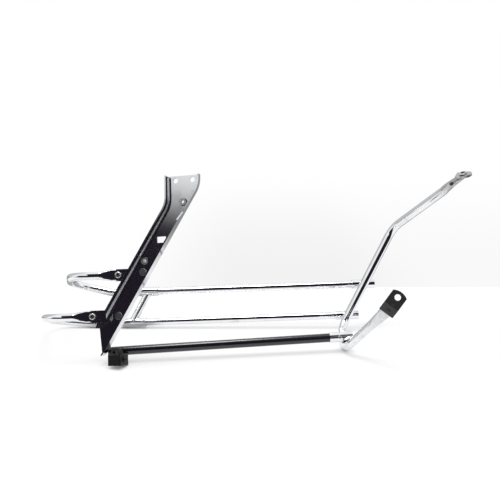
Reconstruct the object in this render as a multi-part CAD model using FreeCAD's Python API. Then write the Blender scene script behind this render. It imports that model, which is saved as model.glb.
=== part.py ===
import FreeCAD, Part

"""Saddlebag guard for one side of a motorcycle, in millimetres, +Z up.

The pieces are drawn as fitted: x runs forward along the rails, y points away
from the machine and z is up, with the zero at the lower tip of the rear stay.
set_down() then lays the whole guard on a table on its three lowest points.
"""

import math
import os

os.makedirs("parts", exist_ok=True)

V = FreeCAD.Vector
UP = V(0, 0, 1)
OUTBOARD = V(0, 1, 0)
FORWARD = V(1, 0, 0)

# Fits
SLIP = 0.15            # radial slip between a tube and its sleeve
HOLE_PLAY = 0.3        # radial play of a bolt in its hole

# Rails and their loops
RAIL_D = 14.0
RAIL_WALL = 1.6
RAIL_Y = 176.0
RAIL_BEND = 40.0
KICK_BEND = 60.0
FLAT_T = 4.0           # thickness of a flattened tube end
FLAT_RUN = 22.0        # length over which the tube goes from round to flat
UPPER_Z = 117.0
LOWER_Z = 57.0
UPPER_EAR = (24.0, 139.0)
LOWER_EAR = (-22.0, 68.0)
LOOP_NEAR = 84.0       # ear hole to near corner of a loop
LOOP_SLANT = 44.0      # how much further back the far corner lies
LOOP_DROP = 0.5        # how much lower it lies
UPPER_KICK_X = -20.0
LOWER_KICK_X = -57.0

# Sleeves at the hoop, collars at the rear brace
SLEEVE_WALL = 1.55
SLEEVE_LEN = 45.0
SLEEVE_CAP = 4.0
UPPER_SLEEVE_X = 474.7
LOWER_SLEEVE_X = 440.3
UPPER_COLLAR_X = 48.0
LOWER_COLLAR_X = 21.5
BRACE_LOW_X = 17.0
BRACE_HIGH_X = 51.0

# Front hoop
HOOP_D = 16.0
HOOP_WALL = 1.8
HOOP_COPE = 0.7        # how far a sleeve is coped onto the hoop
HOOP_TIP = (644.0, -15.0, 297.0)
HOOP_TOP = (536.0, 224.0)
HOOP_LOW = (426.0, 32.0)
HOOP_NEAR = (422.0, 60.0, -4.0)
HOOP_TAB = (494.0, -21.0, 67.2)
TOP_BEND = 38.0
LOW_BEND = 35.0
NEAR_BEND = 32.0

# Upper arm of the hoop, along the arm from its corner
ARM_ROUND = 150.0      # round as far as here
ARM_HALF_RUN = 22.0    # half crushed this far beyond that
ARM_HALF_T = 13.0
ARM_HALF_LIFT = 2.5
VENT_RUN = 15.0        # from where the arm stops being round
VENT_D = 6.0
BILL_D = 10.2          # the crushed end closes under the tongue at this tube size
BILL_T = 3.6
BILL_AT = 20.0         # along the tongue

# Tongue on the end of the upper arm
TONGUE_RUN = 30.0      # from where the arm stops being round
TONGUE_LIFT = 13.0
TONGUE_WAY = (24.0, -15.0, -0.8)
TONGUE_LEN = 28.0
TONGUE_W = 20.0
TONGUE_T = 4.0
TONGUE_LEAN = 38.0     # degrees that its face leans inboard
TIP_HOLE_AT = 13.0
TIP_HOLE_D = 9.0
TIP_NUT_AF = 13.0
TIP_NUT_H = 3.0
TIP_THREAD_D = 8.0

# Front tab, along the lower arm from the end of its seat
TAB_SEAT_T = 8.0       # thickness of the pressed end under the tab
TAB_FLAT_RUN = 36.0
TAB_FLAT_LEN = 23.0
TAB_W = 28.0
TAB_T = 4.0
TAB_START = -13.5
TAB_FOLD_AT = 4.0
TAB_HOLE_AT = 17.0     # from the fold
TAB_HOLE_D = 11.0
TAB_EDGE = 10.8        # hole to the middle of the rounded edge
TAB_CROWN = 4.3        # rise of the rounded edge
TAB_RIVET_AT = -7.0
TAB_RIVET_D = 4.0
TAB_TURN = 8.0         # degrees about the rivet

# Black lower tube and its socket
BAR_D = 16.0
BAR_WALL = 1.8
BAR_REAR = (30.0, 22.0, 7.0)
BAR_FRONT = (423.0, 70.0, 17.0)
SOCKET_WALL = 1.2
SOCKET_LEN = 30.0
SOCKET_BITE = 17.0     # how much of the bar is inside the socket
SOCKET_RIVET_AT = 12.5

# Rear stay
STAY_T = 2.5
STAY_DEPTH = 17.0
STAY_YAW = 13.0
STAY_PIVOT_X = 85.0
STAY_TOP_Z = 308.0
STAY_OUTLINE = (       # x, z and corner radius
    (-9.5, 0.0, 0.0), (-6.7, 0.0, 0.0), (176.0, 288.6, 50.0), (176.0, STAY_TOP_Z, 0.0),
    (115.5, STAY_TOP_Z, 0.0), (115.5, 259.4, 45.0), (-17.0, 51.7, 0.0), (-12.8, 6.0, 0.0),
)
STAY_OPEN = (0, 3, 6, 7)  # edges of the outline that have no flange
STAY_LIP = 11.0        # depth of the front flange above its step
STAY_STEP_Z = 229.0
STAY_HOLE_D = 9.0
STAY_HOLE_Z = 300.0
STAY_HOLE_X = 146.6
STAY_HOLE_PITCH = 30.7
STAY_SLOT = (102.7, 198.0)
STAY_SLOT_SIZE = (16.4, 10.8)
STAY_NUT = (144.5, 261.5)
STAY_RIVET_NUT = (70.7, 162.0)
STAY_RIVETS = ((67.0, 143.0), (20.0, 68.0))
STAY_RIVET_D = 13.5

# Ears on the stay
EAR_H = 21.0
EAR_CLEAR = 1.5        # from the ear to where the tube starts to flatten
EAR_T = 2.5
EAR_WALL = 10.0
EAR_REACH = 40.0
EAR_SPIKE = 6.0        # its walls run out to points this far behind the hole

# Small fasteners
BOLT_D = 6.0
BOLT_HEAD_D = 11.0
BOLT_HEAD_H = 3.4
SOCKET_AF = 4.0
WASHER_D = 13.0
WASHER_T = 1.2
NUT_AF = 10.0
NUT_H = 5.0

# Foot
FOOT_CORNER = (27.2, -12.8, -17.8)
FOOT_LEFT = 24.5
FOOT_RIGHT = 26.5
FOOT_H = 18.5
FOOT_T = 3.0
FOOT_YAW = 20.0
FOOT_ROUND = 3.0
FOOT_BOLT_Z = 11.0
BUSH_RADII = (8.0, 10.5, 12.0)
BUSH_RIB_T = 3.5
BUSH_HOLE_D = 6.0
BUSH_HOLE_Z = 4.4


def corner_arc(before, corner, after, radius):
    """Start, middle and end of the arc that rounds a corner."""
    a = (before - corner).normalize()
    b = (after - corner).normalize()
    half = a.getAngle(b) / 2
    reach = radius / math.tan(half)
    middle = corner + (a + b).normalize() * (radius / math.sin(half) - radius)
    return corner + a * reach, middle, corner + b * reach


def bent_wire(points, radii):
    """Straight runs through points with a tangent arc of each radius."""
    edges = []
    start = points[0]
    for before, corner, after, radius in zip(points, points[1:], points[2:], radii):
        enter, middle, leave = corner_arc(before, corner, after, radius)
        edges.append(Part.makeLine(start, enter))
        edges.append(Part.Arc(enter, middle, leave).toShape())
        start = leave
    edges.append(Part.makeLine(start, points[-1]))
    return Part.Wire(edges)


def sweep(wire, radius):
    """A round bar along the wire."""
    first = wire.Edges[0]
    start = first.valueAt(first.FirstParameter)
    along = first.tangentAt(first.FirstParameter)
    profile = Part.Wire([Part.makeCircle(radius, start, along)])
    return wire.makePipeShell([profile], True, False)


def rod(start, end, radius):
    """A round bar between two points."""
    return Part.makeCylinder(radius, (end - start).Length, start, end - start)


def aligned(origin, along, normal):
    """The placement whose x is along and whose z is as near normal as it can be."""
    x = V(along).normalize()
    y = normal.cross(x).normalize()
    z = x.cross(y)
    turn = FreeCAD.Matrix(x.x, y.x, z.x, 0, x.y, y.y, z.y, 0, x.z, y.z, z.z, 0, 0, 0, 0, 1)
    return FreeCAD.Placement(origin, FreeCAD.Rotation(turn))


def flat_width(diameter, thickness=FLAT_T):
    """Width of a tube pressed to a thickness: the length round it stays the same."""
    return thickness + math.pi * (diameter - thickness) / 2


def section(x, diameter, thickness):
    """The outline of a pressed tube across local x, as a wire of four edges."""
    radius = thickness / 2
    flat = flat_width(diameter, thickness) / 2 - radius
    if flat > 0.01:
        side, rise = flat, radius
        top = Part.makeLine(V(x, -side, rise), V(x, side, rise))
        low = Part.makeLine(V(x, side, -rise), V(x, -side, -rise))
    else:
        side = rise = radius * math.sqrt(0.5)
        top = Part.Arc(V(x, -side, rise), V(x, 0, radius), V(x, side, rise)).toShape()
        low = Part.Arc(V(x, side, -rise), V(x, 0, -radius), V(x, -side, -rise)).toShape()
    edge = flat + radius
    right = Part.Arc(V(x, side, rise), V(x, edge, 0), V(x, side, -rise)).toShape()
    left = Part.Arc(V(x, -side, -rise), V(x, -edge, 0), V(x, -side, rise)).toShape()
    return Part.Wire([top, right, low, left])


def flat_slab(diameter, thickness, start, end, round_end):
    """The flat of a pressed tube along local x, with a square or a full round end."""
    face = Part.Face(section(start, diameter, thickness))
    if not round_end:
        return face.extrude(V(end - start, 0, 0))
    radius = flat_width(diameter, thickness) / 2
    slab = face.extrude(V(end - radius - start, 0, 0))
    return slab.fuse(Part.makeCylinder(radius, thickness, V(end - radius, 0, -thickness / 2)))


def flat_end(diameter, thickness, run, length, hole_d, hole_at, round_end):
    """A tube end going from round to flat, along local x, flat faces to local z."""
    wires = [section(0, diameter, diameter), section(run, diameter, thickness)]
    shape = Part.makeLoft(wires, True, True)
    shape = shape.fuse(flat_slab(diameter, thickness, run, run + length, round_end))
    shape = shape.cut(Part.makeCylinder(hole_d / 2, 2 * diameter, V(hole_at, 0, -diameter)))
    return shape.removeSplitter()


def tube(wire, diameter, wall):
    """A hollow tube along the wire."""
    return sweep(wire, diameter / 2).cut(sweep(wire, diameter / 2 - wall))


def loop_points(ear, rail_z, kick_x, front_x):
    """Corner points of one rail, from its round start behind the ear to the front."""
    ear_x, ear_z = ear
    near_x = ear_x - LOOP_NEAR
    hole_back = FLAT_RUN + EAR_H / 2 + EAR_CLEAR
    return [
        V(ear_x - hole_back, 0, ear_z),
        V(near_x, 0, ear_z),
        V(near_x - LOOP_SLANT, RAIL_Y, ear_z - LOOP_DROP),
        V(kick_x, RAIL_Y, rail_z),
        V(front_x, RAIL_Y, rail_z),
    ]


def rail(ear, rail_z, kick_x, sleeve_x):
    """One rail with its rear loop and flattened, drilled end."""
    front_x = sleeve_x + SLEEVE_LEN / 2 - SLEEVE_CAP
    points = loop_points(ear, rail_z, kick_x, front_x)
    wire = bent_wire(points, [RAIL_BEND, RAIL_BEND, KICK_BEND])
    body = tube(wire, RAIL_D, RAIL_WALL)
    hole_at = ear[0] - points[0].x
    length = hole_at - FLAT_RUN + flat_width(RAIL_D) / 2
    end = flat_end(RAIL_D, FLAT_T, FLAT_RUN, length, BOLT_D + 2 * HOLE_PLAY, hole_at, True)
    end.Placement = aligned(points[0], FORWARD, OUTBOARD)
    return body.fuse(end)


def sleeve_radius():
    return RAIL_D / 2 + SLIP + SLEEVE_WALL


def hoop_y():
    return RAIL_Y - HOOP_D / 2 - sleeve_radius() + HOOP_COPE


def hoop_points():
    y = hoop_y()
    return [
        V(*HOOP_TIP),
        V(HOOP_TOP[0], y, HOOP_TOP[1]),
        V(HOOP_LOW[0], y, HOOP_LOW[1]),
        V(*HOOP_NEAR),
        V(*HOOP_TAB),
    ]


def arm_way():
    """Direction of the upper arm, from its corner to its tip."""
    points = hoop_points()
    return (points[0] - points[1]).normalize()


def tab_way():
    """Direction of the lower arm, from its corner to the tab."""
    points = hoop_points()
    return (points[4] - points[3]).normalize()


def hoop_wire():
    """Centre line of the round part of the hoop."""
    points = hoop_points()
    points[0] = points[1] + arm_way() * ARM_ROUND
    points[4] = points[4] - tab_way() * (TAB_FLAT_RUN + TAB_FLAT_LEN)
    return bent_wire(points, [TOP_BEND, LOW_BEND, NEAR_BEND])


def arm_point(along, lift=0.0):
    """A point of the upper arm, from its corner, raised off its axis."""
    return hoop_points()[1] + arm_way() * along + tongue_normal() * lift


def tongue_normal():
    return FreeCAD.Rotation(FORWARD, TONGUE_LEAN).multVec(UP)


def tongue_placement():
    """Local x along the tongue, local z out of its upper face."""
    return aligned(arm_point(ARM_ROUND + TONGUE_RUN, TONGUE_LIFT), V(*TONGUE_WAY), tongue_normal())


def placed_section(place, x, diameter, thickness):
    """The outline of a pressed tube at x along a placement."""
    wire = section(x, diameter, thickness)
    wire.Placement = place.multiply(wire.Placement)
    return wire


def tongue():
    """Flat drilled tongue with a round end."""
    radius = TONGUE_W / 2
    plate = Part.makeBox(TONGUE_LEN - radius, TONGUE_W, TONGUE_T, V(0, -radius, -TONGUE_T / 2))
    plate = plate.fuse(Part.makeCylinder(radius, TONGUE_T, V(TONGUE_LEN - radius, 0, -TONGUE_T / 2)))
    plate.Placement = tongue_placement()
    return plate


def crushed_arm():
    """The end of the upper arm: crushed upward until it closes under its tongue."""
    start = aligned(arm_point(ARM_ROUND), arm_way(), tongue_normal())
    half = aligned(arm_point(ARM_ROUND + ARM_HALF_RUN, ARM_HALF_LIFT), arm_way(), tongue_normal())
    bill = placed_section(tongue_placement(), BILL_AT, BILL_D, BILL_T)
    wires = [placed_section(start, 0, HOOP_D, HOOP_D), placed_section(half, 0, HOOP_D, ARM_HALF_T), bill]
    shape = Part.makeLoft(wires, True, False).fuse(tongue())
    reach = 2 * HOOP_D
    hole = Part.makeCylinder(TIP_HOLE_D / 2, 2 * reach, V(TIP_HOLE_AT, 0, -reach))
    hole.Placement = tongue_placement().multiply(hole.Placement)
    vent_at = arm_point(ARM_ROUND + VENT_RUN, ARM_HALF_LIFT)
    vent = Part.makeCylinder(VENT_D / 2, 2 * reach, vent_at - OUTBOARD * reach, OUTBOARD)
    return shape.cut(hole).cut(vent)


def tab_placement():
    """Local x along the lower arm from the end of its flat, local z inboard."""
    return aligned(hoop_points()[4], tab_way(), -OUTBOARD)


def front_hoop():
    """The bent hoop with its crushed upper end and its pressed lower end."""
    body = tube(hoop_wire(), HOOP_D, HOOP_WALL)
    start = TAB_FLAT_RUN + TAB_FLAT_LEN
    low_end = flat_end(
        HOOP_D, TAB_SEAT_T, TAB_FLAT_RUN, TAB_FLAT_LEN, TAB_RIVET_D, start + TAB_RIVET_AT, False)
    low_end.translate(V(-start, 0, 0))
    low_end.Placement = tab_placement().multiply(low_end.Placement)
    return body.fuse(crushed_arm()).fuse(low_end)


def sleeve(centre_x, rail_z, hoop_bar):
    """Capped sleeve on the front end of a rail, coped onto the hoop."""
    x0 = centre_x - SLEEVE_LEN / 2
    x1 = centre_x + SLEEVE_LEN / 2
    body = rod(V(x0, RAIL_Y, rail_z), V(x1, RAIL_Y, rail_z), sleeve_radius())
    edge = [e for e in body.Edges if abs(e.CenterOfMass.x - x1) < 0.01]
    body = body.makeChamfer(1.0, edge)
    bore = rod(V(x0, RAIL_Y, rail_z), V(x1 - SLEEVE_CAP, RAIL_Y, rail_z), RAIL_D / 2 + SLIP)
    return body.cut(bore).cut(hoop_bar)


def collar(centre_x, rail_z):
    """Plain collar round a rail at the rear brace."""
    x0 = V(centre_x - SLEEVE_LEN / 2, RAIL_Y, rail_z)
    x1 = V(centre_x + SLEEVE_LEN / 2, RAIL_Y, rail_z)
    return rod(x0, x1, sleeve_radius()).cut(rod(x0, x1, RAIL_D / 2 + SLIP))


def rear_brace():
    """Short tube between the two rails, coped onto both collars."""
    low = V(BRACE_LOW_X, RAIL_Y, LOWER_Z)
    high = V(BRACE_HIGH_X, RAIL_Y, UPPER_Z)
    body = rod(low, high, RAIL_D / 2).cut(rod(low, high, RAIL_D / 2 - RAIL_WALL))
    for centre_x, z in ((UPPER_COLLAR_X, UPPER_Z), (LOWER_COLLAR_X, LOWER_Z)):
        reach = V(SLEEVE_LEN, 0, 0)
        middle = V(centre_x, RAIL_Y, z)
        body = body.cut(rod(middle - reach, middle + reach, sleeve_radius()))
    return max(body.Solids, key=lambda s: s.Volume)


def bar_axis():
    return (V(*BAR_FRONT) - V(*BAR_REAR)).normalize()


def lower_bar(foot, stay):
    """Straight black tube, rear end coped onto the foot and the stay."""
    start = V(*BAR_REAR) - bar_axis() * 30
    end = V(*BAR_FRONT) - bar_axis() * (SOCKET_LEN - SOCKET_BITE)
    body = rod(start, end, BAR_D / 2).cut(rod(start, end, BAR_D / 2 - BAR_WALL))
    body = body.cut(foot).cut(stay)
    return max(body.Solids, key=lambda s: s.Volume)


def socket_radius():
    return BAR_D / 2 + SLIP + SOCKET_WALL


def bar_socket(hoop_bar):
    """Chrome socket of the black tube, coped onto the near bend of the hoop."""
    start = V(*BAR_FRONT) - bar_axis() * SOCKET_LEN
    end = V(*BAR_FRONT) + bar_axis() * 12
    stop = V(*BAR_FRONT) - bar_axis() * (SOCKET_LEN - SOCKET_BITE)
    body = rod(start, end, socket_radius()).cut(rod(start, stop, BAR_D / 2 + SLIP))
    body = body.cut(hoop_bar)
    return max(body.Solids, key=lambda s: s.Volume)


def socket_rivet():
    """Domed rivet head on the inboard side of the socket."""
    side = bar_axis().cross(UP).normalize()
    base = V(*BAR_FRONT) - bar_axis() * SOCKET_RIVET_AT + side * (socket_radius() - 0.1)
    head = Part.makeCylinder(3.0, 1.8, base, side)
    rim = [e for e in head.Edges if (e.CenterOfMass - base).dot(side) > 1.7]
    head = head.makeFillet(1.2, rim)
    start = V(*BAR_FRONT) - bar_axis() * SOCKET_LEN
    return head.cut(rod(start, V(*BAR_FRONT), socket_radius()))


def turned_tab_placement():
    """The tab is turned a little about its rivet."""
    rivet = V(TAB_RIVET_AT, 0, 0)
    turn = FreeCAD.Placement(V(0, 0, 0), FreeCAD.Rotation(UP, TAB_TURN), rivet)
    return tab_placement().multiply(turn)


def tab_leg_placement():
    """Local x along the tab's upper leg from its fold, which brings it parallel to the rails."""
    fold = math.degrees(math.asin(-tab_way().y))
    leg = FreeCAD.Placement(V(TAB_FOLD_AT, 0, TAB_SEAT_T / 2), FreeCAD.Rotation(OUTBOARD, fold))
    return turned_tab_placement().multiply(leg)


def tab_strip(points):
    """A profile in local x and z, extruded over the width of the tab."""
    face = Part.Face(Part.makePolygon(points + points[:1]))
    strip = face.extrude(V(0, TAB_W, 0))
    strip.translate(V(0, -TAB_W / 2, 0))
    return strip


def tab_crown(start):
    """The rounded edge of the tab's upper leg, beyond local x = start."""
    left, right = V(start, -TAB_W / 2, 0), V(start, TAB_W / 2, 0)
    arc = Part.Arc(left, V(start + TAB_CROWN, 0, 0), right).toShape()
    return Part.Face(Part.Wire([arc, Part.makeLine(right, left)])).extrude(V(0, 0, TAB_T))


def front_tab():
    """Folded black plate: one leg on the hoop's pressed end, one with the bolt hole."""
    corner = TAB_T * math.tan(math.asin(-tab_way().y) / 2)
    seat = TAB_SEAT_T / 2
    low = tab_strip([
        V(TAB_START, 0, seat), V(TAB_FOLD_AT, 0, seat),
        V(TAB_FOLD_AT + corner, 0, seat + TAB_T), V(TAB_START, 0, seat + TAB_T)])
    low = low.cut(Part.makeCylinder(TAB_RIVET_D / 2, 40, V(TAB_RIVET_AT, 0, -20)))
    low.Placement = turned_tab_placement().multiply(low.Placement)
    straight = TAB_HOLE_AT + TAB_EDGE - TAB_CROWN
    high = tab_strip([V(0, 0, 0), V(straight, 0, 0), V(straight, 0, TAB_T), V(-corner, 0, TAB_T)])
    high = high.fuse(tab_crown(straight))
    high = high.cut(Part.makeCylinder(TAB_HOLE_D / 2, 40, V(TAB_HOLE_AT, 0, -20)))
    high.Placement = tab_leg_placement().multiply(high.Placement)
    return low.fuse(high).removeSplitter()


def tab_rivet():
    """Rivet that holds the tab on the pressed end of the hoop."""
    seat = TAB_SEAT_T / 2
    shape = Part.makeCylinder(TAB_RIVET_D / 2, TAB_SEAT_T + TAB_T, V(0, 0, -seat))
    for z, sign in ((-seat, -1), (seat + TAB_T, 1)):
        head = Part.makeCylinder(TAB_RIVET_D * 0.85, 1.8, V(0, 0, z), V(0, 0, sign))
        rim = [e for e in head.Edges if abs(e.CenterOfMass.z - z) > 1.6]
        shape = shape.fuse(head.makeFillet(1.2, rim))
    shape.translate(V(TAB_RIVET_AT, 0, 0))
    shape.Placement = tab_placement().multiply(shape.Placement)
    return shape


def inset(corners, offsets):
    """A closed outline with each edge moved inward by its own offset."""
    count = len(corners)
    lines = []
    for i in range(count):
        x, z, radius = corners[i]
        far_x, far_z, far_radius = corners[(i + 1) % count]
        length = math.hypot(far_x - x, far_z - z)
        dx, dz = (far_x - x) / length, (far_z - z) / length
        lines.append((x - dz * offsets[i], z + dx * offsets[i], dx, dz))
    moved = []
    for i in range(count):
        x1, z1, dx1, dz1 = lines[i - 1]
        x2, z2, dx2, dz2 = lines[i]
        cross = dx1 * dz2 - dz1 * dx2
        t = ((x2 - x1) * dz2 - (z2 - z1) * dx2) / cross
        radius = corners[i][2]
        if radius > 0:
            radius -= math.copysign(offsets[i], cross)
        moved.append((x1 + dx1 * t, z1 + dz1 * t, radius))
    return moved


def outline_wire(corners, y):
    """A closed wire in x and z, each corner with its own radius."""
    points = [V(x, y, z) for x, z, radius in corners]
    count = len(points)
    marks = []
    for i in range(count):
        radius = corners[i][2]
        if radius > 0:
            marks.append(corner_arc(points[i - 1], points[i], points[(i + 1) % count], radius))
        else:
            marks.append((points[i], None, points[i]))
    edges = []
    for i in range(count):
        enter, middle, leave = marks[i]
        if middle:
            edges.append(Part.Arc(enter, middle, leave).toShape())
        edges.append(Part.makeLine(leave, marks[(i + 1) % count][0]))
    return Part.Wire(edges)


def prism(corners, y0, y1):
    """An outline in x and z, extruded from y0 to y1."""
    return Part.Face(outline_wire(corners, y0)).extrude(V(0, y1 - y0, 0))


def stay_placement():
    """The stay is drawn with its web's back on y = 0 and then turned about its middle."""
    pivot = V(STAY_PIVOT_X, 0, 0)
    return FreeCAD.Placement(V(0, 0, 0), FreeCAD.Rotation(UP, -STAY_YAW), pivot)


def stay_block(behind=0.0):
    """The stay without its pocket, for coping other pieces to it."""
    block = prism(STAY_OUTLINE, -STAY_DEPTH, behind)
    block.Placement = stay_placement()
    return block


def web_hole(x, z, diameter):
    return Part.makeCylinder(diameter / 2, 40, V(x, -20, z), OUTBOARD)


def rear_stay():
    """Pressed channel, open inboard, with its holes, slot and stepped flanges."""
    body = prism(STAY_OUTLINE, -STAY_DEPTH, 0)
    offsets = [STAY_T] * len(STAY_OUTLINE)
    for edge in STAY_OPEN:
        offsets[edge] = -10.0
    body = body.cut(prism(inset(STAY_OUTLINE, offsets), -STAY_DEPTH - 1, -STAY_T))
    lip = [
        (STAY_STEP_Z, -STAY_DEPTH - 1), (STAY_STEP_Z, -STAY_LIP - 6),
        (STAY_STEP_Z + 14, -STAY_LIP), (STAY_TOP_Z + 1, -STAY_LIP), (STAY_TOP_Z + 1, -STAY_DEPTH - 1),
    ]
    step = [V(STAY_NUT[0] - 16, y, z) for z, y in lip]
    body = body.cut(Part.Face(Part.makePolygon(step + step[:1])).extrude(V(2 * STAY_HOLE_PITCH, 0, 0)))
    half = STAY_HOLE_PITCH / 2
    for x in (STAY_HOLE_X - half, STAY_HOLE_X + half):
        body = body.cut(web_hole(x, STAY_HOLE_Z, STAY_HOLE_D))
    wide, tall = STAY_SLOT_SIZE
    corner = V(STAY_SLOT[0] - wide / 2, -STAY_T - 1, STAY_SLOT[1] - tall / 2)
    body = body.cut(Part.makeBox(wide, STAY_T + 2, tall, corner))
    body = body.cut(web_hole(*STAY_NUT, BOLT_D))
    body = body.cut(web_hole(*STAY_RIVET_NUT, 9.0))
    for x, z in STAY_RIVETS:
        body = body.cut(web_hole(x, z, 6.0))
    body.Placement = stay_placement()
    return body


def stay_nut():
    """Hex nut welded to the inboard face of the stay's head."""
    nut = hexagon(12.0, 5.5).cut(Part.makeCylinder(BOLT_D / 2, 20, V(0, 0, -5)))
    return on_web(nut, STAY_NUT)


def stay_rivet_nut():
    """Flanged rivet nut pressed into the web."""
    body = Part.makeCylinder(6.5, 1.2).fuse(Part.makeCylinder(4.5, STAY_T + 9, V(0, 0, -STAY_T - 9)))
    body = body.cut(Part.makeCylinder(3.0, 40, V(0, 0, -20)))
    return on_web(body, STAY_RIVET_NUT)


def stay_rivet(spot):
    """Flat round rivet through the web."""
    body = Part.makeCylinder(STAY_RIVET_D / 2, 1.8)
    body = body.makeFillet(0.8, [e for e in body.Edges if e.CenterOfMass.z > 1.7])
    body = body.fuse(Part.makeCylinder(3.0, STAY_T, V(0, 0, -STAY_T)))
    body = body.fuse(Part.makeCylinder(4.6, 1.2, V(0, 0, -STAY_T - 1.2)))
    return on_web(body, spot)


def on_web(shape, spot):
    """Moves a shape drawn on z = 0 to the inboard face of the stay's web."""
    shape.Placement = aligned(V(spot[0], -STAY_T, spot[1]), FORWARD, -OUTBOARD).multiply(shape.Placement)
    shape.Placement = stay_placement().multiply(shape.Placement)
    return shape


def hexagon(across_flats, height):
    """A hexagonal prism on z = 0."""
    radius = across_flats / math.sqrt(3)
    angles = [math.radians(60 * i) for i in range(7)]
    points = [V(radius * math.cos(a), radius * math.sin(a), 0) for a in angles]
    return Part.Face(Part.makePolygon(points)).extrude(V(0, 0, height))


def ear(spot, block):
    """Bracket from the stay to the flattened end of a rail."""
    x, z = spot
    y0 = FLAT_T / 2
    half = EAR_H / 2
    plate = Part.makeBox(EAR_REACH, EAR_T, EAR_H, V(x, y0, z - half))
    plate = plate.fuse(Part.makeCylinder(half, EAR_T, V(x, y0, z), OUTBOARD))
    for wall_z in (z - half, z + half - EAR_T):
        wall = [V(x - EAR_SPIKE, y0, wall_z), V(x + EAR_REACH, y0, wall_z),
                V(x + EAR_REACH, y0 + EAR_WALL, wall_z), V(x, y0 + EAR_T, wall_z)]
        plate = plate.fuse(Part.Face(Part.makePolygon(wall + wall[:1])).extrude(V(0, 0, EAR_T)))
    plate = plate.cut(Part.makeCylinder(BOLT_D / 2 + HOLE_PLAY, 40, V(x, -20, z), OUTBOARD))
    plate = plate.cut(block)
    return max(plate.removeSplitter().Solids, key=lambda s: s.CenterOfMass.x * -1)


def button_bolt(grip):
    """Button-head socket bolt: head from z = 0 up, shank down."""
    head = Part.makeCylinder(BOLT_HEAD_D / 2, BOLT_HEAD_H)
    head = head.makeFillet(2.2, [e for e in head.Edges if e.CenterOfMass.z > BOLT_HEAD_H - 0.1])
    recess = hexagon(SOCKET_AF, 3)
    recess.translate(V(0, 0, BOLT_HEAD_H - 2.2))
    return head.cut(recess).fuse(Part.makeCylinder(BOLT_D / 2, grip, V(0, 0, -grip)))


def washer():
    ring = Part.makeCylinder(WASHER_D / 2, WASHER_T)
    return ring.cut(Part.makeCylinder(BOLT_D / 2 + HOLE_PLAY, WASHER_T))


def hex_nut():
    return hexagon(NUT_AF, NUT_H).cut(Part.makeCylinder(BOLT_D / 2, NUT_H))


def ear_fastener(spot, shape, y):
    """Moves a fastener part to an ear, its z pointing inboard."""
    shape.Placement = aligned(V(spot[0], y, spot[1]), FORWARD, -OUTBOARD)
    return shape


def foot_placement():
    """Local x along the left face, local y along the right face, from the near corner."""
    return FreeCAD.Placement(V(*FOOT_CORNER), FreeCAD.Rotation(UP, 180 - FOOT_YAW))


def foot_solid():
    """The outside of the foot as a plain block."""
    block = Part.makeBox(FOOT_LEFT, FOOT_RIGHT, FOOT_H, V(0, -FOOT_RIGHT, 0))
    block.Placement = foot_placement()
    return block


def foot_rest():
    """The corner of the foot that stands on the table."""
    return foot_placement().multVec(V(0, -FOOT_RIGHT, 0))


def foot_bracket(stay_solid):
    """Angle bracket with a top, open to the rear, clear of the tip of the stay."""
    body = Part.makeBox(FOOT_LEFT, FOOT_RIGHT, FOOT_H, V(0, -FOOT_RIGHT, 0))
    near = [e for e in body.Edges if abs(e.CenterOfMass.x) < 0.01 and abs(e.CenterOfMass.y) < 0.01]
    body = body.makeFillet(FOOT_ROUND, near)
    hollow = Part.makeBox(
        FOOT_LEFT, FOOT_RIGHT, FOOT_H - FOOT_T, V(FOOT_T, -FOOT_RIGHT - FOOT_T, 0))
    body = body.cut(hollow)
    bolt_y = -FOOT_RIGHT / 2
    body = body.cut(Part.makeCylinder(BOLT_D / 2, 10, V(-2, bolt_y, FOOT_BOLT_Z), V(1, 0, 0)))
    body.Placement = foot_placement()
    return body.cut(stay_solid)


def foot_bolt():
    """Bolt on the right face of the foot."""
    bolt = button_bolt(FOOT_T + 3)
    local = aligned(V(0, -FOOT_RIGHT / 2, FOOT_BOLT_Z), UP, V(-1, 0, 0))
    bolt.Placement = foot_placement().multiply(local)
    return bolt


def foot_bush():
    """Stepped half-round rubber on top of the foot, larger toward the rear."""
    middle = FOOT_LEFT / 2
    body = None
    for i, radius in enumerate(BUSH_RADII):
        start = V(middle, -i * BUSH_RIB_T, FOOT_H)
        rib = Part.makeCylinder(radius, BUSH_RIB_T, start, V(0, -1, 0))
        body = body.fuse(rib) if body else rib
    depth = BUSH_RIB_T * len(BUSH_RADII)
    body = body.common(Part.makeBox(FOOT_LEFT, depth, FOOT_LEFT, V(0, -depth, FOOT_H)))
    hole_at = V(middle, 1, FOOT_H + BUSH_HOLE_Z)
    body = body.cut(Part.makeCylinder(BUSH_HOLE_D / 2, depth + 2, hole_at, V(0, -1, 0)))
    body.Placement = foot_placement()
    return body


def tip_nut():
    """Low nut welded on the tongue of the hoop."""
    nut = hexagon(TIP_NUT_AF, TIP_NUT_H).cut(Part.makeCylinder(TIP_THREAD_D / 2, TIP_NUT_H))
    nut.translate(V(TIP_HOLE_AT, 0, TONGUE_T / 2))
    nut.Placement = tongue_placement().multiply(nut.Placement)
    return nut


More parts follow.
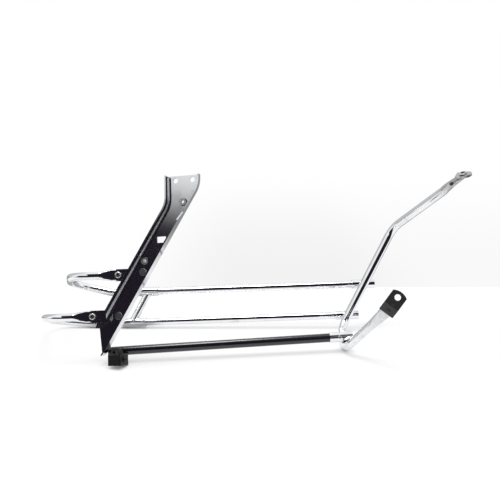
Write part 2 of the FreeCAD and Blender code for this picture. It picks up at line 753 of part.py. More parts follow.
def guard():
    """Every piece of the guard by name, in its place on the machine."""
    hoop_bar = sweep(hoop_wire(), HOOP_D / 2)
    block = stay_block()
    pieces = {
        "rear_stay": rear_stay(),
        "upper_rail": rail(UPPER_EAR, UPPER_Z, UPPER_KICK_X, UPPER_SLEEVE_X),
        "lower_rail": rail(LOWER_EAR, LOWER_Z, LOWER_KICK_X, LOWER_SLEEVE_X),
        "upper_sleeve": sleeve(UPPER_SLEEVE_X, UPPER_Z, hoop_bar),
        "lower_sleeve": sleeve(LOWER_SLEEVE_X, LOWER_Z, hoop_bar),
        "upper_collar": collar(UPPER_COLLAR_X, UPPER_Z),
        "lower_collar": collar(LOWER_COLLAR_X, LOWER_Z),
        "rear_brace": rear_brace(),
        "front_hoop": front_hoop(),
        "tip_nut": tip_nut(),
        "lower_bar": lower_bar(foot_solid(), block),
        "bar_socket": bar_socket(hoop_bar),
        "socket_rivet": socket_rivet(),
        "front_tab": front_tab(),
        "tab_rivet": tab_rivet(),
        "stay_nut": stay_nut(),
        "stay_rivet_nut": stay_rivet_nut(),
        "upper_stay_rivet": stay_rivet(STAY_RIVETS[0]),
        "lower_stay_rivet": stay_rivet(STAY_RIVETS[1]),
        "foot_bracket": foot_bracket(block),
        "foot_bolt": foot_bolt(),
        "foot_bush": foot_bush(),
    }
    for side, spot in (("upper", UPPER_EAR), ("lower", LOWER_EAR)):
        grip = WASHER_T + FLAT_T + EAR_T + NUT_H + 1.5
        head_y = -FLAT_T / 2 - WASHER_T
        pieces[side + "_ear"] = ear(spot, stay_block(EAR_REACH))
        pieces[side + "_ear_bolt"] = ear_fastener(spot, button_bolt(grip), head_y)
        pieces[side + "_ear_washer"] = ear_fastener(spot, washer(), -FLAT_T / 2)
        pieces[side + "_ear_nut"] = ear_fastener(spot, hex_nut(), FLAT_T / 2 + EAR_T + NUT_H)
    return pieces


def table_normal():
    """Unit normal of the plane that the foot, the hoop and the lower rail rest on."""
    y = hoop_y()
    low_run = V(*HOOP_NEAR) - V(HOOP_LOW[0], y, HOOP_LOW[1])
    hoop_rest = V(HOOP_LOW[0], y, HOOP_LOW[1]) + low_run.normalize() * LOW_BEND * 0.72
    rests = (
        (foot_rest(), 0.0),
        (hoop_rest, HOOP_D / 2),
        (V(LOWER_KICK_X, RAIL_Y, LOWER_Z), RAIL_D / 2),
    )
    (p0, r0), (p1, r1), (p2, r2) = rests
    u, v = p1 - p0, p2 - p0
    uu, uv, vv = u.dot(u), u.dot(v), v.dot(v)
    det = uu * vv - uv * uv
    a = ((r1 - r0) * vv - (r2 - r0) * uv) / det
    b = ((r2 - r0) * uu - (r1 - r0) * uv) / det
    flat = u * a + v * b
    return flat + u.cross(v).normalize() * math.sqrt(1 - flat.dot(flat))


def set_down(pieces):
    """Lays the pieces on z = 0, rails along x, centred over the zero."""
    normal = table_normal()
    along = FORWARD - normal * FORWARD.dot(normal)
    turn = aligned(V(0, 0, 0), along, normal).inverse()
    for shape in pieces.values():
        shape.Placement = turn.multiply(shape.Placement)
    box = FreeCAD.BoundBox()
    for shape in pieces.values():
        box.add(shape.optimalBoundingBox(False, False))
    shift = V(-box.Center.x, -box.Center.y, -box.ZMin)
    for shape in pieces.values():
        shape.translate(shift)
    return turn, shift


def main():
    pieces = guard()
    set_down(pieces)
    for name, shape in pieces.items():
        shape.exportStep("parts/" + name + ".step")


if __name__ == "__main__":
    main()
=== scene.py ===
import math

import bmesh
import bpy
from mathutils import Matrix, Vector


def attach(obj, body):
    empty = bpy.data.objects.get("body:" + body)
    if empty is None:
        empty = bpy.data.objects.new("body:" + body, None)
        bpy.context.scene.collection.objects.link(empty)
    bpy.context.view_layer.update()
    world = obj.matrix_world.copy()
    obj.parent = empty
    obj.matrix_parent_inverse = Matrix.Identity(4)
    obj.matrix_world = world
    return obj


bl_info = {
    "name": "Saddlebag guard",
    "version": (1, 0, 0),
    "blender": (4, 5, 0),
    "location": "View3D > Sidebar > Guard",
    "description": "Finishes, small parts and studio of a tubular saddlebag guard",
    "category": "Object",
}

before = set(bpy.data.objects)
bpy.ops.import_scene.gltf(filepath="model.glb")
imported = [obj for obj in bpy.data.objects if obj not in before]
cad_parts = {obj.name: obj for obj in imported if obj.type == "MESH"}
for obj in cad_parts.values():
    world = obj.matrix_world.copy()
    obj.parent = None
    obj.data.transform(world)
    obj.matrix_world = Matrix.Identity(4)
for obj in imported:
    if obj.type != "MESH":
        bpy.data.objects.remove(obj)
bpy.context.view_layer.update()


class ChromeFinish(bpy.types.PropertyGroup):
    """Plated finish of the tubes and of the pressed stay."""

    tube_color: bpy.props.FloatVectorProperty(
        name="Tube chrome", description="Reflected colour of the plated tubes",
        subtype="COLOR", size=3, min=0.0, max=1.0, default=(0.86, 0.87, 0.885))
    stay_color: bpy.props.FloatVectorProperty(
        name="Stay chrome", description="Reflected colour of the pressed stay and its ears",
        subtype="COLOR", size=3, min=0.0, max=1.0, default=(0.74, 0.75, 0.77))
    tube_roughness: bpy.props.FloatProperty(
        name="Tube roughness", description="Blur of the reflections in the plated tubes",
        subtype="FACTOR", min=0.0, max=1.0, default=0.045)
    stay_roughness: bpy.props.FloatProperty(
        name="Stay roughness", description="Blur of the reflections in the pressed stay",
        subtype="FACTOR", min=0.0, max=1.0, default=0.07)
    fold_roughness: bpy.props.FloatProperty(
        name="Fold roughness", description="Blur of the reflections in the stay's unpolished folds",
        subtype="FACTOR", min=0.0, max=1.0, default=0.32)
    tube_haze: bpy.props.FloatProperty(
        name="Tube haze", description="Brightness left where a film lies on the tubes",
        subtype="FACTOR", min=0.0, max=1.0, default=0.86)
    stay_haze: bpy.props.FloatProperty(
        name="Stay haze", description="Brightness left where a film lies on the stay",
        subtype="FACTOR", min=0.0, max=1.0, default=0.8)
    # Reach of the painted shade that darkens the chrome in gaps and inside tubes
    tube_shade_reach: bpy.props.FloatProperty(
        name="Tube gaps", description="Width of a gap between tubes that looks dark",
        unit="LENGTH", default=0.007)
    stay_shade_reach: bpy.props.FloatProperty(
        name="Stay gaps", description="Width of a gap on the stay that looks dark",
        unit="LENGTH", default=0.001)


class DarkFinish(bpy.types.PropertyGroup):
    """Black enamel, black steel, rubber, rivets and zinc."""

    enamel_color: bpy.props.FloatVectorProperty(
        name="Enamel", description="Colour of the gloss enamel on the lower bar",
        subtype="COLOR", size=3, min=0.0, max=1.0, default=(0.009, 0.0085, 0.013))
    steel_color: bpy.props.FloatVectorProperty(
        name="Black steel", description="Colour of the satin black tab",
        subtype="COLOR", size=3, min=0.0, max=1.0, default=(0.022, 0.022, 0.024))
    foot_color: bpy.props.FloatVectorProperty(
        name="Foot steel", description="Colour of the darker foot bracket and its bolt",
        subtype="COLOR", size=3, min=0.0, max=1.0, default=(0.0088, 0.0088, 0.0096))
    rubber_color: bpy.props.FloatVectorProperty(
        name="Rubber", description="Colour of the ribbed bush",
        subtype="COLOR", size=3, min=0.0, max=1.0, default=(0.012, 0.012, 0.012))
    rivet_color: bpy.props.FloatVectorProperty(
        name="Dark rivets", description="Colour of the two flat rivets in the stay",
        subtype="COLOR", size=3, min=0.0, max=1.0, default=(0.20, 0.20, 0.205))
    zinc_color: bpy.props.FloatVectorProperty(
        name="Zinc", description="Colour of bolts, washers and nuts",
        subtype="COLOR", size=3, min=0.0, max=1.0, default=(0.60, 0.60, 0.59))
    steel_gloss: bpy.props.FloatProperty(
        name="Tab gloss", description="Strength of the tab's reflections",
        subtype="FACTOR", min=0.0, max=1.0, default=0.5)
    foot_gloss: bpy.props.FloatProperty(
        name="Foot gloss", description="Strength of the foot's reflections",
        subtype="FACTOR", min=0.0, max=1.0, default=0.22)
    rivet_roughness: bpy.props.FloatProperty(
        name="Rivet roughness", description="Blur of the reflections in the flat rivets",
        subtype="FACTOR", min=0.0, max=1.0, default=0.35)
    zinc_roughness: bpy.props.FloatProperty(
        name="Zinc roughness", description="Blur of the reflections in bolts, washers and nuts",
        subtype="FACTOR", min=0.0, max=1.0, default=0.24)


class PressedSheet(bpy.types.PropertyGroup):
    """Sheet of the rear stay and the beads of the welds."""

    thickness: bpy.props.FloatProperty(
        name="Sheet", description="Thickness of the stay's sheet", unit="LENGTH", default=0.0025)
    fold_radius: bpy.props.FloatProperty(
        name="Fold radius", description="Inner radius of the stay's folds", unit="LENGTH", default=0.0025)
    brace_bead: bpy.props.FloatProperty(
        name="Brace bead", description="Radius of the weld beads at the brace", unit="LENGTH",
        default=0.0011)
    sleeve_bead: bpy.props.FloatProperty(
        name="Sleeve bead", description="Radius of the weld beads at the sleeves", unit="LENGTH",
        default=0.0012)


class Studio(bpy.types.PropertyGroup):
    """Table, light and camera."""

    table_color: bpy.props.FloatVectorProperty(
        name="Table", description="Colour of the pale table",
        subtype="COLOR", size=3, min=0.0, max=1.0, default=(0.93, 0.93, 0.935))
    camera_distance: bpy.props.FloatProperty(
        name="Camera distance", description="How far the camera stands in front of the guard",
        unit="LENGTH", default=1.3107)
    camera_height: bpy.props.FloatProperty(
        name="Camera height", description="Height of the camera over the table",
        unit="LENGTH", default=0.5435)
    camera_side: bpy.props.FloatProperty(
        name="Camera offset", description="Sideways place of the camera",
        unit="LENGTH", default=0.0026)
    camera_dip: bpy.props.FloatProperty(
        name="Camera dip", description="How far the camera looks down",
        subtype="ANGLE", default=math.radians(15.5))
    lens: bpy.props.FloatProperty(
        name="Lens", description="Focal length in millimetres on a 36 mm sensor", default=54.0)
    lamp_size: bpy.props.FloatProperty(
        name="Lamp size", description="Side of the square lamp overhead", unit="LENGTH", default=0.75)
    lamp_power: bpy.props.FloatProperty(
        name="Lamp power", description="Power of the lamp overhead in watts", default=18.0)


class Socket:
    """One output of a shader node, with operators that add Math nodes."""

    def __init__(self, tree, output):
        self.tree = tree
        self.output = output

    @classmethod
    def add(cls, tree, kind, settings=None, values=None, out=0):
        """Add any node: its settings first, then the values or links of its sockets."""
        node = tree.nodes.new(kind)
        for name, value in (settings or {}).items():
            setattr(node, name, value)
        for key, value in (values or {}).items():
            if isinstance(value, Socket):
                tree.links.new(value.output, node.inputs[key])
            else:
                node.inputs[key].default_value = value
        return cls(tree, node.outputs[out])

    def math(self, operation, other=None, flip=False):
        """Math node on this value and another."""
        pair = [self] if other is None else ([other, self] if flip else [self, other])
        return Socket.add(self.tree, "ShaderNodeMath", {"operation": operation}, dict(enumerate(pair)))

    def __add__(self, other):
        return self.math("ADD", other)

    __radd__ = __add__

    def __sub__(self, other):
        return self.math("SUBTRACT", other)

    def __rsub__(self, other):
        return self.math("SUBTRACT", other, flip=True)

    def __mul__(self, other):
        return self.math("MULTIPLY", other)

    __rmul__ = __mul__

    def smooth(self, low, high):
        """0 below low, 1 above high, with a soft step between."""
        return Socket.add(self.tree, "ShaderNodeMapRange", {"interpolation_type": "SMOOTHSTEP"},
                          {"Value": self, "From Min": low, "From Max": high})


def new_material(name):
    """An empty node material with its shader and its object coordinates."""
    material = bpy.data.materials.new(name)
    material.use_nodes = True
    tree = material.node_tree
    tree.nodes.clear()
    output = tree.nodes.new("ShaderNodeOutputMaterial")
    shader = tree.nodes.new("ShaderNodeBsdfPrincipled")
    tree.links.new(shader.outputs["BSDF"], output.inputs["Surface"])
    place = Socket.add(tree, "ShaderNodeTexCoord", out="Object")
    return material, tree, shader, place


def noise(tree, place, waves, detail, rough=0.5):
    """Grey noise of a given number of waves per metre."""
    return Socket.add(tree, "ShaderNodeTexNoise", None,
                      {"Vector": place, "Scale": waves, "Detail": detail, "Roughness": rough})


MIX_FIRST, MIX_SECOND, MIX_RESULT = 6, 7, 2  # colour sockets of a Mix node


def blend(tree, factor, first, second):
    """Colour between two, each linked or fixed, by a factor."""
    first, second = (end if isinstance(end, Socket) else (*end, 1.0) for end in (first, second))
    return Socket.add(tree, "ShaderNodeMix", {"data_type": "RGBA"},
                      {"Factor": factor, MIX_FIRST: first, MIX_SECOND: second}, out=MIX_RESULT)


def directions(tree, out):
    """The three parts of a texture coordinate."""
    look = Socket.add(tree, "ShaderNodeTexCoord", out=out)
    way = tree.nodes.new("ShaderNodeSeparateXYZ")
    tree.links.new(look.output, way.inputs[0])
    return [Socket(tree, way.outputs[axis]) for axis in "XYZ"]


def bump(tree, height, strength, depth):
    """Normal of a bumpy surface."""
    return Socket.add(tree, "ShaderNodeBump", None,
                      {"Height": height, "Strength": strength, "Distance": depth})


def feed(tree, shader, **links):
    """Link sockets to, or set values on, the shader's inputs."""
    for name, value in links.items():
        key = name.replace("_", " ")
        if isinstance(value, Socket):
            tree.links.new(value.output, shader.inputs[key])
        else:
            shader.inputs[key].default_value = value


SHADER_SAMPLES = 8  # rays that feel for gaps and edges


def gap_shade_mask(tree, reach):
    """1 in gaps, inside tubes and close to other surfaces, where shade falls; 0 on open faces."""
    open_sky = Socket.add(tree, "ShaderNodeAmbientOcclusion", {"samples": SHADER_SAMPLES},
                          {"Distance": reach}, out="AO")
    return 1 - open_sky.smooth(0.12, 0.62)


# Painted shade: the chrome darkens to this colour in gaps and inside tubes
GAP_SHADE_COLOR = (0.035, 0.034, 0.033)
DULL_COLOR = (0.36, 0.36, 0.35)
DUST_COLOR = (0.035, 0.035, 0.036)
WORN_COLOR = (0.13, 0.13, 0.132)
SKIN_COLOR = (0.03, 0.03, 0.03)
WEAR_WIDTH = 0.0012  # how far wear reaches from an edge
DULLED_ARM = 0.7     # how dull the lower arm is, next to the tip


def dull_ends(tree, place):
    """1 on the dull tip of the hoop's upper arm, less on its lower arm near the tab, 0 elsewhere."""
    along, away = directions(tree, "Object")[:2]
    patches = noise(tree, place, waves=210.0, detail=3.0, rough=0.6).smooth(0.30, 0.62)
    tip = along.smooth(0.338, 0.368)
    arm = along.smooth(0.15, 0.17) * (0 - away).smooth(0.070, 0.115) * DULLED_ARM
    return tip.math("MAXIMUM", arm) * (0.60 + patches * 0.40)


def chrome(name, color, roughness, haze, gap, with_dull_ends=False):
    """Bright plating: faint haze, fine specks, painted shade in gaps and inside tubes and, where wanted,
    the hoop's dull ends.
    """
    material, tree, shader, place = new_material(name)
    film = noise(tree, place, waves=38.0, detail=4.0, rough=0.55).smooth(0.50, 0.72)
    specks = noise(tree, place, waves=620.0, detail=2.0, rough=0.6).smooth(0.62, 0.80)
    waver = noise(tree, place, waves=60.0, detail=1.0)
    plate = blend(tree, film, color, [c * haze for c in color])
    blur = roughness + film * 0.05 + specks * 0.03
    if with_dull_ends:
        dull = dull_ends(tree, place)
        plate = blend(tree, dull, plate, DULL_COLOR)
        blur = blur + dull * 0.32
    # Painted shade: the plate darkens where ambient occlusion finds gaps and tube bores
    feed(tree, shader, Base_Color=blend(tree, gap_shade_mask(tree, gap), plate, GAP_SHADE_COLOR), Metallic=1.0,
         Roughness=blur, Normal=bump(tree, waver, strength=0.006, depth=0.0006))
    return material


def enamel(name, color):
    """Gloss black enamel with a little dust in the gloss."""
    material, tree, shader, place = new_material(name)
    dust = noise(tree, place, waves=260.0, detail=3.0, rough=0.6).smooth(0.58, 0.80)
    flow = noise(tree, place, waves=140.0, detail=2.0)
    feed(tree, shader, Base_Color=blend(tree, dust, color, DUST_COLOR), Roughness=0.16 + dust * 0.2,
         Coat_Weight=0.5, Coat_Roughness=0.08, Normal=bump(tree, flow, strength=0.06, depth=0.0005))
    return material


def edges(tree, width):
    """1 on the sharp edges of a piece, 0 away from them."""
    rounded = Socket.add(tree, "ShaderNodeBevel", {"samples": SHADER_SAMPLES}, {"Radius": width})
    flat = Socket.add(tree, "ShaderNodeNewGeometry", out="Normal")
    same = Socket.add(tree, "ShaderNodeVectorMath", {"operation": "DOT_PRODUCT"},
                      {0: rounded, 1: flat}, out="Value")
    return (1 - same).smooth(0.02, 0.16)


def satin_steel(name, color, gloss):
    """Satin black steel, worn to grey on its edges and in specks."""
    material, tree, shader, place = new_material(name)
    patches = noise(tree, place, waves=150.0, detail=4.0, rough=0.6)
    grain = noise(tree, place, waves=900.0, detail=2.0, rough=0.6)
    worn = edges(tree, WEAR_WIDTH) * patches.smooth(0.40, 0.58)
    wear = worn.math("MAXIMUM", patches.smooth(0.60, 0.78) * 0.6)
    feed(tree, shader, Base_Color=blend(tree, wear, color, WORN_COLOR), Metallic=0.0,
         Roughness=0.34 + grain * 0.16, Specular_IOR_Level=gloss,
         Normal=bump(tree, grain, strength=0.10, depth=0.0003))
    return material


def rubber(name, color):
    """Matt rubber with a fine skin."""
    material, tree, shader, place = new_material(name)
    skin = noise(tree, place, waves=700.0, detail=3.0, rough=0.6)
    feed(tree, shader, Base_Color=blend(tree, skin.smooth(0.45, 0.75), color, SKIN_COLOR),
         Roughness=0.62 + skin * 0.2, Normal=bump(tree, skin, strength=0.2, depth=0.0003))
    return material


def plain_metal(name, color, roughness):
    """Turned steel with a dull film."""
    material, tree, shader, place = new_material(name)
    film = noise(tree, place, waves=240.0, detail=4.0, rough=0.6).smooth(0.45, 0.70)
    turning = noise(tree, place, waves=800.0, detail=2.0)
    feed(tree, shader, Base_Color=blend(tree, film, color, [c * 0.72 for c in color]), Metallic=1.0,
         Roughness=roughness + film * 0.12, Normal=bump(tree, turning, strength=0.06, depth=0.0003))
    return material


FINISHED_NODES = {
    "tube_plating": ("upper_rail", "lower_rail", "upper_sleeve", "lower_sleeve", "upper_collar",
                     "lower_collar", "rear_brace", "front_hoop", "bar_socket"),
    "stay_plating": ("rear_stay", "upper_ear", "lower_ear"),
    "bar_enamel": ("lower_bar",),
    "tab_steel": ("front_tab", "tab_rivet"),
    "foot_steel": ("foot_bracket", "foot_bolt"),
    "bush_rubber": ("foot_bush",),
    "rivet_steel": ("upper_stay_rivet", "lower_stay_rivet"),
    "bolt_zinc": ("upper_ear_bolt", "upper_ear_washer", "upper_ear_nut", "lower_ear_bolt",
                  "lower_ear_washer", "lower_ear_nut", "socket_rivet", "tip_nut", "stay_nut",
                  "stay_rivet_nut"),
}


def dress(material):
    """Give a material to every solid of its finish."""
    for name in FINISHED_NODES[material.name]:
        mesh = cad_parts[name].data
        mesh.materials.clear()
        mesh.materials.append(material)


SOFT_EDGES = {"upper_ear": 0.0005, "lower_ear": 0.0005, "front_tab": 0.0010, "foot_bracket": 0.0007}
SOFT_EDGE_STEPS = 3
SHARP_FROM = math.radians(35.0)
JOIN_WITHIN = 0.00002


class GUARD_OT_soften(bpy.types.Operator):
    """Break the sharp edges of the pressed and cut plates"""

    bl_idname = "guard.soften"
    bl_label = "Soft edges"

    def execute(self, context):
        for name, width in SOFT_EDGES.items():
            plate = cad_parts[name]
            weld = plate.modifiers.new("joined", "WELD")
            weld.merge_threshold = JOIN_WITHIN
            edge = plate.modifiers.new("soft_edge", "BEVEL")
            edge.width = width
            edge.segments = SOFT_EDGE_STEPS
            edge.limit_method = "ANGLE"
            edge.angle_limit = SHARP_FROM
            edge.use_clamp_overlap = True
            edge.harden_normals = True
        return {"FINISHED"}


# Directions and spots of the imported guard, in metres
RAIL_WAY = Vector((0.9993, 0.0, 0.0371))
OUTBOARD = Vector((0.0134, 0.9323, -0.3614))
HOOP_WAY = Vector((0.4667, 0.3138, 0.8269))
BRACE_ENDS = {"upper": Vector((-0.19753, 0.09841, 0.06739)),
              "lower": Vector((-0.22943, 0.07671, 0.01022))}
SLEEVE_TOUCH = {"upper": Vector((0.22576, 0.09063, 0.08613)),
                "lower": Vector((0.19349, 0.06893, 0.02895))}
STAY_ZERO = Vector((-0.24438, -0.09016, 0.01326))
STAY_WAY = Vector((0.9707, -0.2097, 0.1175))
STAY_UP = Vector((-0.0346, 0.3616, 0.9317))

# Courses of the weld beads
BRACE_RING = 0.0074    # radius of the bead round the brace
COLLAR_RING = 0.0089   # radius at which it lies on the collar
BRACE_SECTIONS = 44
SLEEVE_R = 0.0087
HOOP_R = 0.0080
SLEEVE_COPE = 0.0007   # how far a sleeve is coped onto the hoop
VALLEY_FILL = 0.0016   # height of the valley that the bead fills
SLEEVE_SECTIONS = 40
BEAD_SIDES = 8
RIPPLES = ((0.16, 2.1), (0.05, 0.9))  # share of the bead's size, turn per section
SMOOTH_BELOW = math.radians(50.0)

# Edges that the folds of the stay follow, in its own x and z
REAR_FOLD = {"start": (0.1155, 0.3065), "heading": math.radians(-90.0), "first": 0.0340,
             "turn": math.radians(-32.53), "bend": 0.045, "last": 0.2215}
FRONT_FOLD = {"start": (0.0051, 0.0186), "heading": math.radians(57.67), "first": 0.3051,
              "turn": math.radians(32.33), "bend": 0.050, "last": 0.0034}
FOLD_SINK = 0.0002     # how deep a fold's back lies in the sheet
FOLD_STEPS = 5
BEND_STEPS = 8
SAME_SPOT = 0.00001


def start_piece(add, **sizes):
    """Add a primitive with nothing else selected and open it in edit mode."""
    bpy.ops.object.select_all(action="DESELECT")
    add(**sizes)
    bpy.ops.object.mode_set(mode="EDIT")
    return bpy.context.active_object


def pick(piece, wanted):
    """Select the vertices of the open mesh for which wanted(vertex) holds."""
    mesh = bmesh.from_edit_mesh(piece.data)
    bpy.ops.mesh.select_all(action="DESELECT")
    for vertex in mesh.verts:
        vertex.select_set(wanted(vertex))
    mesh.select_flush(True)
    bmesh.update_edit_mesh(piece.data)


def settle(piece, name, origin, along, normal):
    """Close the piece, turn it so that its x and z lie on two directions, and apply its place."""
    bpy.ops.object.mode_set(mode="OBJECT")
    z = normal.normalized()
    x = (along - z * along.dot(z)).normalized()
    turn = Matrix((x, z.cross(x), z)).transposed()
    piece.matrix_world = Matrix.Translation(origin) @ turn.to_4x4()
    bpy.ops.object.transform_apply(location=True, rotation=True, scale=True)
    piece.name = name
    piece.data.name = name
    bpy.ops.object.shade_smooth_by_angle(angle=SMOOTH_BELOW)


def bead(name, thick, course, origin, along, normal):
    """A closed weld bead: a ring whose sections follow a course of radius and rise, with ripples."""
    count = len(course)
    start = course[0][0]
    piece = start_piece(bpy.ops.mesh.primitive_torus_add, major_segments=count,
                        minor_segments=BEAD_SIDES, major_radius=start, minor_radius=thick)
    (quick, quick_turn), (slow, slow_turn) = RIPPLES
    for i, (radius, rise) in enumerate(course):
        angle = math.tau * i / count
        middle = Vector((math.cos(angle), math.sin(angle), 0.0))

        def in_section(vertex):
            turned = math.atan2(vertex.co.y, vertex.co.x) - angle
            return abs((turned + math.pi) % math.tau - math.pi) < math.pi / count

        pick(piece, in_section)
        ripple = 1.0 + quick * math.cos(i * quick_turn) + slow * math.sin(i * slow_turn)
        bpy.ops.transform.resize(value=(ripple, ripple, ripple), center_override=middle * start)
        bpy.ops.transform.translate(value=middle * (radius - start) + Vector((0.0, 0.0, rise)))
    settle(piece, name, origin, along, normal)
    round_off = piece.modifiers.new("round", "SUBSURF")
    round_off.levels = 1
    round_off.render_levels = 1
    bpy.ops.object.modifier_apply(modifier="round")
    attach(piece, "root")
    return piece


def saddle(tube, header, lean, count):
    """Course of a bead where a tube ends on a wider one at a slant."""
    course = []
    for i in range(count):
        angle = math.tau * i / count
        across = math.sqrt(header ** 2 - (tube * math.sin(angle)) ** 2)
        course.append((tube, (across + tube * math.cos(angle) * math.sin(lean)) / math.cos(lean)))
    return course


def valley(tube, header, bite, gap, slant, count):
    """Course of a bead round the spot where two crossing tubes touch."""
    course = []
    for i in range(count):
        angle = math.tau * i / count
        a = math.sin(angle) ** 2 / (2 * tube)
        b = math.sin(angle + slant) ** 2 / (2 * header)
        radius = math.sqrt((gap + bite) / (a + b))
        course.append((radius, (a - b) * radius ** 2 / 2))
    return course


class GUARD_OT_welds(bpy.types.Operator):
    """Weld beads of the rear brace and of the front sleeves"""

    bl_idname = "guard.welds"
    bl_label = "Weld beads"

    def execute(self, context):
        sheet = context.scene.guard_sheet
        finish = bpy.data.materials["tube_plating"]
        climb = (BRACE_ENDS["upper"] - BRACE_ENDS["lower"]).normalized()
        for end, way in (("upper", -climb), ("lower", climb)):
            lean = math.asin(way.dot(RAIL_WAY))
            course = saddle(BRACE_RING, COLLAR_RING, lean, BRACE_SECTIONS)
            piece = bead(end + "_brace_weld", sheet.brace_bead, course, BRACE_ENDS[end], RAIL_WAY, way)
            piece.data.materials.append(finish)
        slant = math.acos(HOOP_WAY.dot(RAIL_WAY))
        for end, spot in SLEEVE_TOUCH.items():
            course = valley(SLEEVE_R, HOOP_R, SLEEVE_COPE, VALLEY_FILL, slant, SLEEVE_SECTIONS)
            piece = bead(end + "_sleeve_weld", sheet.sleeve_bead, course, spot, RAIL_WAY, OUTBOARD)
            piece.data.materials.append(finish)
        return {"FINISHED"}


def fold(name, start, heading, first, turn, bend, last):
    """Concave strip in a fold of the stay: along its edge, round one bend and on to its end."""
    sheet = bpy.context.scene.guard_sheet
    radius = sheet.fold_radius
    reach = sheet.thickness + radius
    sunk = sheet.thickness - FOLD_SINK
    profile = [(sunk, -sunk), (sunk, -reach)]
    for i in range(FOLD_STEPS + 1):
        angle = math.pi - i * math.pi / 2 / FOLD_STEPS
        profile.append((reach + radius * math.cos(angle), radius * math.sin(angle) - reach))
    profile.append((reach, -sunk))
    way = Vector((math.cos(heading), 0.0, math.sin(heading)))
    left = Vector((-way.z, 0.0, way.x))
    spot = Vector((start[0], 0.0, start[1]))
    piece = start_piece(bpy.ops.mesh.primitive_circle_add, vertices=len(profile), radius=reach)
    for i, (across, depth) in enumerate(profile):
        place = spot + left * across + Vector((0.0, depth, 0.0))
        corner = bmesh.from_edit_mesh(piece.data).verts[:][i].co.copy()
        pick(piece, lambda vertex: vertex.index == i)
        bpy.ops.transform.translate(value=place - corner)
    bpy.ops.mesh.select_all(action="SELECT")
    bpy.ops.mesh.edge_face_add()
    bpy.ops.mesh.extrude_region_move(TRANSFORM_OT_translate={"value": way * first})
    centre = spot + way * first + left * math.copysign(bend, turn)
    bpy.ops.mesh.spin(steps=BEND_STEPS, angle=turn, center=centre, axis=(0.0, 1.0, 0.0))
    way = Vector((math.cos(heading + turn), 0.0, math.sin(heading + turn)))
    bpy.ops.mesh.extrude_region_move(TRANSFORM_OT_translate={"value": way * last})
    bpy.ops.mesh.select_all(action="SELECT")
    bpy.ops.mesh.remove_doubles(threshold=SAME_SPOT)
    bpy.ops.mesh.fill_holes(sides=0)
    bpy.ops.mesh.normals_make_consistent(inside=False)
    settle(piece, name, STAY_ZERO, STAY_WAY, STAY_UP)
    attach(piece, "root")
    return piece


class GUARD_OT_folds(bpy.types.Operator):
    """Rounded inner folds of the pressed stay"""

    bl_idname = "guard.folds"
    bl_label = "Stay folds"

    def execute(self, context):
        finish = bpy.data.materials["fold_plating"]
        for name, course in (("stay_rear_fold", REAR_FOLD), ("stay_front_fold", FRONT_FOLD)):
            fold(name, **course).data.materials.append(finish)
        return {"FINISHED"}


class GUARD_OT_finish(bpy.types.Operator):
    """Give the solids their chrome, enamel, black steel, rubber and zinc"""

    bl_idname = "guard.finish"
    bl_label = "Finishes"

    def execute(self, context):
        bright = context.scene.guard_chrome
        dark = context.scene.guard_dark
        tube, stay = bright.tube_color[:], bright.stay_color[:]
        finishes = (
            chrome("tube_plating", tube, bright.tube_roughness, bright.tube_haze, bright.tube_shade_reach,
                   with_dull_ends=True),
            chrome("stay_plating", stay, bright.stay_roughness, bright.stay_haze, bright.stay_shade_reach),
            enamel("bar_enamel", dark.enamel_color[:]),
            satin_steel("tab_steel", dark.steel_color[:], dark.steel_gloss),
            satin_steel("foot_steel", dark.foot_color[:], dark.foot_gloss),
            rubber("bush_rubber", dark.rubber_color[:]),
            plain_metal("rivet_steel", dark.rivet_color[:], dark.rivet_roughness),
            plain_metal("bolt_zinc", dark.zinc_color[:], dark.zinc_roughness),
        )
        for material in finishes:
            dress(material)
        chrome("fold_plating", stay, bright.fold_roughness, bright.stay_haze, bright.stay_shade_reach)
        return {"FINISHED"}


WHITE = (1.0, 1.0, 1.0)
ROOM_COLOR = (0.016, 0.0125, 0.020)
ROOM_TABLE = (0.03, 0.03, 0.03)
STRIP_SHADE = 0.45     # how much darker than white each grey place is
CORNER_SHADE = 0.40
BACKDROP_SHADE = 0.11
MIRRORED_SHADE = 0.62
PALE_SHADOW = 0.60     # share of white over the table's shadows
PALER_REAR = 0.5       # how much more of it lies under the rear loops
CONTACT = 0.06         # reach of the shadow where the guard touches the table


def studio_light(context):
    """White all round with a dark room on the camera's side and two grey places behind the table."""
    world = bpy.data.worlds.new("studio")
    context.scene.world = world
    world.use_nodes = True
    tree = world.node_tree
    tree.nodes.clear()
    output = tree.nodes.new("ShaderNodeOutputWorld")
    sky = tree.nodes.new("ShaderNodeBackground")
    tree.links.new(sky.outputs[0], output.inputs["Surface"])
    side, away, up = directions(tree, "Generated")
    near = 0 - away
    spread = side.math("ABSOLUTE")
    tall = near.smooth(0.0, 0.16) * (1 - spread.smooth(0.26, 0.44)) * (1 - up.smooth(0.88, 0.98))
    wide = near.smooth(0.30, 0.55) * (1 - up.smooth(0.40, 0.475))
    room = tall.math("MAXIMUM", wide)
    strip = away.smooth(0.75, 0.93) * (1 - up.smooth(0.10, 0.30))
    corner = (0 - side).smooth(0.22, 0.45) * away.smooth(0.0, 0.25) * (1 - up.smooth(0.60, 0.85))
    level = (1 - room) * (1 - strip * STRIP_SHADE) * (1 - corner * CORNER_SHADE)
    seen = Socket.add(tree, "ShaderNodeLightPath", out="Is Camera Ray")
    color = blend(tree, level * (1 - seen) + seen, ROOM_COLOR, WHITE)
    tree.links.new(color.output, sky.inputs["Color"])


def glow(tree, color):
    """Plain light of a colour, fixed or linked."""
    return Socket.add(tree, "ShaderNodeEmission", None,
                      {"Color": color if isinstance(color, Socket) else (*color, 1.0)})


def cover(tree, factor, under, over):
    """One shader over another, by a factor."""
    return Socket.add(tree, "ShaderNodeMixShader", None, {0: factor, 1: under, 2: over})


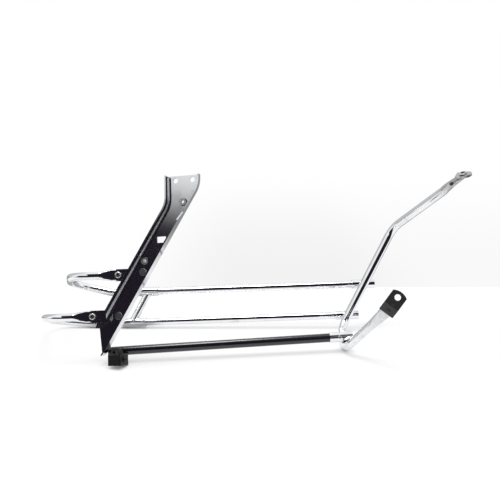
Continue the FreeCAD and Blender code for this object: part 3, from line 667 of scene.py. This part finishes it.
def table_material(color):
    """Pale table that ends in a plain backdrop; in reflections its front lies in the dark room."""
    material, tree, shader = new_material("table")[:3]
    feed(tree, shader, Base_Color=(*color, 1.0), Roughness=0.6)
    side, away = directions(tree, "Object")[:2]
    back = 0 - side
    seen = Socket.add(tree, "ShaderNodeLightPath", out="Is Camera Ray")
    glossy = Socket.add(tree, "ShaderNodeLightPath", out="Is Glossy Ray")

    clear = (1 - gap_shade_mask(tree, CONTACT)) * (1 + back.smooth(0.25, 0.33) * PALER_REAR)
    surface = Socket(tree, shader.outputs["BSDF"])
    surface = cover(tree, (seen * clear + glossy) * PALE_SHADOW, surface, glow(tree, WHITE))

    shade = side.smooth(-0.36, -0.02) * (1 - side.smooth(0.20, 0.46) * 0.5)
    paper = 1 - shade * (1 - away.smooth(0.35, 1.9)) * BACKDROP_SHADE
    # Painted darker reflections: seen only in reflections, the table beyond 0.1 m and a strip toward the
    # guard's rear end are grey, which darkens the stay and the brace
    rear = back.smooth(0.16, 0.21) * (1 - back.smooth(0.29, 0.35)) * away.smooth(-0.03, 0.05)
    mirrored = away.smooth(0.10, 0.28).math("MAXIMUM", rear)
    beyond = away.smooth(0.326, 0.334) * (1 - glossy) + mirrored * glossy
    surface = cover(tree, beyond, surface, glow(tree, paper * (1 - glossy * MIRRORED_SHADE)))

    front = (0 - away).smooth(0.32, 0.60) * glossy
    surface = cover(tree, front, surface, glow(tree, ROOM_TABLE))
    output = [node for node in tree.nodes if node.type == "OUTPUT_MATERIAL"][0]
    tree.links.new(surface.output, output.inputs["Surface"])
    return material


LAMP_PLACE = Vector((-0.15, 0.10, 1.8))
SENSOR = 36.0
TABLE_SIZE = 80.0
TABLE_UNDER = 0.0004   # how far under the guard the table lies


def overhead_lamp(size, power):
    """A soft square lamp that looks at the middle of the table."""
    data = bpy.data.lights.new("overhead", "AREA")
    data.size = size
    data.energy = power
    lamp = bpy.data.objects.new("overhead", data)
    bpy.context.scene.collection.objects.link(lamp)
    lamp.location = LAMP_PLACE
    lamp.rotation_euler = (-LAMP_PLACE).to_track_quat("-Z", "Y").to_euler()


class GUARD_OT_stage(bpy.types.Operator):
    """Pale table, soft light and the camera"""

    bl_idname = "guard.stage"
    bl_label = "Studio"

    def execute(self, context):
        studio = context.scene.guard_studio
        bpy.ops.object.select_all(action="DESELECT")
        bpy.ops.mesh.primitive_plane_add(size=TABLE_SIZE, location=(0.0, 0.0, -TABLE_UNDER))
        table = context.active_object
        table.name = "table"
        table.data.materials.append(table_material(studio.table_color[:]))
        studio_light(context)
        overhead_lamp(studio.lamp_size, studio.lamp_power)
        data = bpy.data.cameras.new("camera")
        data.lens = studio.lens
        data.sensor_width = SENSOR
        camera = bpy.data.objects.new("camera", data)
        context.scene.collection.objects.link(camera)
        camera.location = (studio.camera_side, -studio.camera_distance, studio.camera_height)
        camera.rotation_euler = (math.pi / 2 - studio.camera_dip, 0.0, 0.0)
        context.scene.camera = camera
        context.scene.view_settings.view_transform = "Standard"
        return {"FINISHED"}


class GUARD_PT_panel(bpy.types.Panel):
    """Steps that finish the guard"""

    bl_idname = "GUARD_PT_panel"
    bl_label = "Saddlebag guard"
    bl_space_type = "VIEW_3D"
    bl_region_type = "UI"
    bl_category = "Guard"

    def draw(self, context):
        for group in (getattr(context.scene, name) for name in GROUPS):
            for name in group.__annotations__:
                self.layout.prop(group, name)
        for step in STEPS:
            self.layout.operator(step.bl_idname)


GROUPS = {"guard_chrome": ChromeFinish, "guard_dark": DarkFinish, "guard_sheet": PressedSheet,
          "guard_studio": Studio}
STEPS = (GUARD_OT_soften, GUARD_OT_finish, GUARD_OT_welds, GUARD_OT_folds, GUARD_OT_stage)
CLASSES = (*GROUPS.values(), *STEPS, GUARD_PT_panel)


def register():
    for cls in CLASSES:
        bpy.utils.register_class(cls)
    for name, group in GROUPS.items():
        setattr(bpy.types.Scene, name, bpy.props.PointerProperty(type=group))


def unregister():
    for name in GROUPS:
        delattr(bpy.types.Scene, name)
    for cls in reversed(CLASSES):
        bpy.utils.unregister_class(cls)


def main():
    register()
    bpy.ops.guard.soften()
    bpy.ops.guard.finish()
    bpy.ops.guard.welds()
    bpy.ops.guard.folds()
    bpy.ops.guard.stage()


if __name__ == "__main__":
    main()
